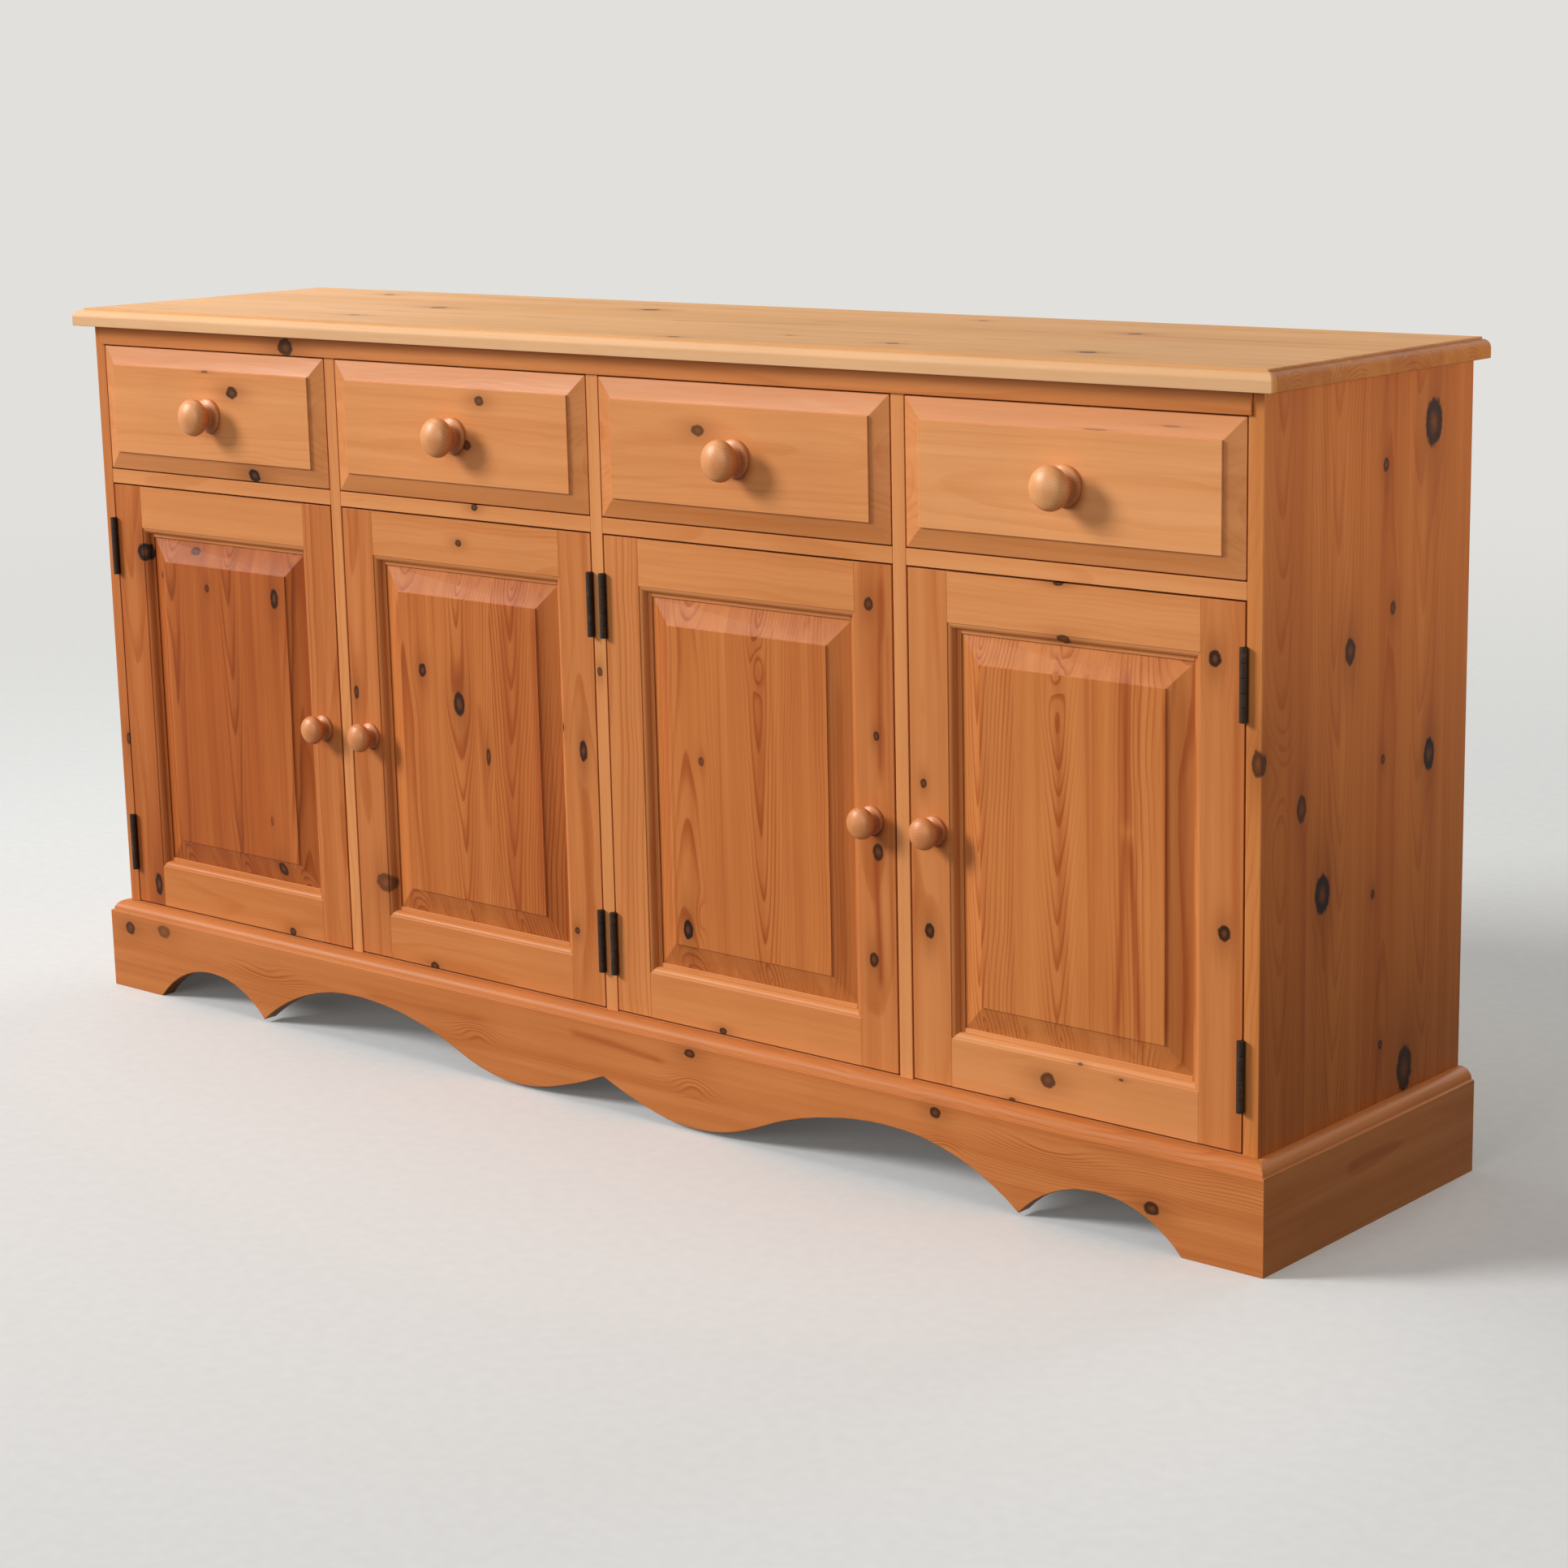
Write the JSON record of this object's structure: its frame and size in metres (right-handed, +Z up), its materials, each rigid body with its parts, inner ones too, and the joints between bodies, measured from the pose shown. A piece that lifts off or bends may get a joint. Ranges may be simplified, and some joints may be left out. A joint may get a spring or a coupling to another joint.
{
  "type": "dresser base",
  "caption": "Pine dresser base: a row of fielded drawers over panelled cupboard doors, with turned knobs, a moulded top and a scalloped plinth.",
  "frame": {"origin": "on the floor, under the middle of the whole object, knobs included", "axes": "+X to the right along the front, +Y from the front to the back, +Z up"},
  "size_m": [1.83, 0.4466, 0.908],
  "materials": {
    "pine_waxed": "satin wax",
    "pine_bare": "sanded, unfinished",
    "knob_wood": "satin wax",
    "hinge_iron": "dark bronzed",
    "catch_plastic": "matt"
  },
  "bodies": {
    "carcass": {"top_board": "pine_waxed", "side_panel_left": "pine_waxed", "side_panel_right": "pine_waxed", "partitions": "pine_waxed", "bottom_board": "pine_waxed", "back_boards": "pine_bare", "top_rail": "pine_waxed", "drawer_rails": "pine_waxed", "drawer_runners": "pine_bare", "drawer_kickers": "pine_bare", "plinth_front": "pine_waxed", "plinth_left": "pine_waxed", "plinth_right": "pine_waxed", "plinth_blocks": "pine_bare", "shelves": "pine_bare", "shelf_battens": "pine_bare", "hinge_frame_leaves": "hinge_iron", "hinge_pins": "hinge_iron", "hinge_frame_screws": "hinge_iron", "door_catches": "catch_plastic"},
    "door_1": {"door_1_stiles": "pine_waxed", "door_1_rails": "pine_waxed", "door_1_panel": "pine_waxed", "door_1_knob": "knob_wood", "door_1_hinge_leaves": "hinge_iron", "door_1_hinge_screws": "hinge_iron"},
    "door_2": {"door_2_stiles": "pine_waxed", "door_2_rails": "pine_waxed", "door_2_panel": "pine_waxed", "door_2_knob": "knob_wood", "door_2_hinge_leaves": "hinge_iron", "door_2_hinge_screws": "hinge_iron"},
    "door_3": {"door_3_stiles": "pine_waxed", "door_3_rails": "pine_waxed", "door_3_panel": "pine_waxed", "door_3_knob": "knob_wood", "door_3_hinge_leaves": "hinge_iron", "door_3_hinge_screws": "hinge_iron"},
    "door_4": {"door_4_stiles": "pine_waxed", "door_4_rails": "pine_waxed", "door_4_panel": "pine_waxed", "door_4_knob": "knob_wood", "door_4_hinge_leaves": "hinge_iron", "door_4_hinge_screws": "hinge_iron"},
    "drawer_1": {"drawer_1_front": "pine_waxed", "drawer_1_box": "pine_bare", "drawer_1_bottom": "pine_bare", "drawer_1_knob": "knob_wood"},
    "drawer_2": {"drawer_2_front": "pine_waxed", "drawer_2_box": "pine_bare", "drawer_2_bottom": "pine_bare", "drawer_2_knob": "knob_wood"},
    "drawer_3": {"drawer_3_front": "pine_waxed", "drawer_3_box": "pine_bare", "drawer_3_bottom": "pine_bare", "drawer_3_knob": "knob_wood"},
    "drawer_4": {"drawer_4_front": "pine_waxed", "drawer_4_box": "pine_bare", "drawer_4_bottom": "pine_bare", "drawer_4_knob": "knob_wood"}
  },
  "joints": [
    {"name": "door_1_hinge", "type": "hinge", "parent": "carcass", "child": "door_1", "pos_m": [-0.876, -0.17915, 0.4], "axis": [0, 0, -1], "range_deg": [0, 170]},
    {"name": "door_2_hinge", "type": "hinge", "parent": "carcass", "child": "door_2", "pos_m": [-0.01, -0.17915, 0.4], "axis": [0, 0, 1], "range_deg": [0, 85]},
    {"name": "door_3_hinge", "type": "hinge", "parent": "carcass", "child": "door_3", "pos_m": [0.01, -0.17915, 0.4], "axis": [0, 0, -1], "range_deg": [0, 85]},
    {"name": "door_4_hinge", "type": "hinge", "parent": "carcass", "child": "door_4", "pos_m": [0.876, -0.17915, 0.4], "axis": [0, 0, 1], "range_deg": [0, 170]},
    {"name": "drawer_1_slide", "type": "slide", "parent": "carcass", "child": "drawer_1", "axis": [0, -1, 0], "range_m": [0, 0.28]},
    {"name": "drawer_2_slide", "type": "slide", "parent": "carcass", "child": "drawer_2", "axis": [0, -1, 0], "range_m": [0, 0.28]},
    {"name": "drawer_3_slide", "type": "slide", "parent": "carcass", "child": "drawer_3", "axis": [0, -1, 0], "range_m": [0, 0.28]},
    {"name": "drawer_4_slide", "type": "slide", "parent": "carcass", "child": "drawer_4", "axis": [0, -1, 0], "range_m": [0, 0.28]}
  ]
}
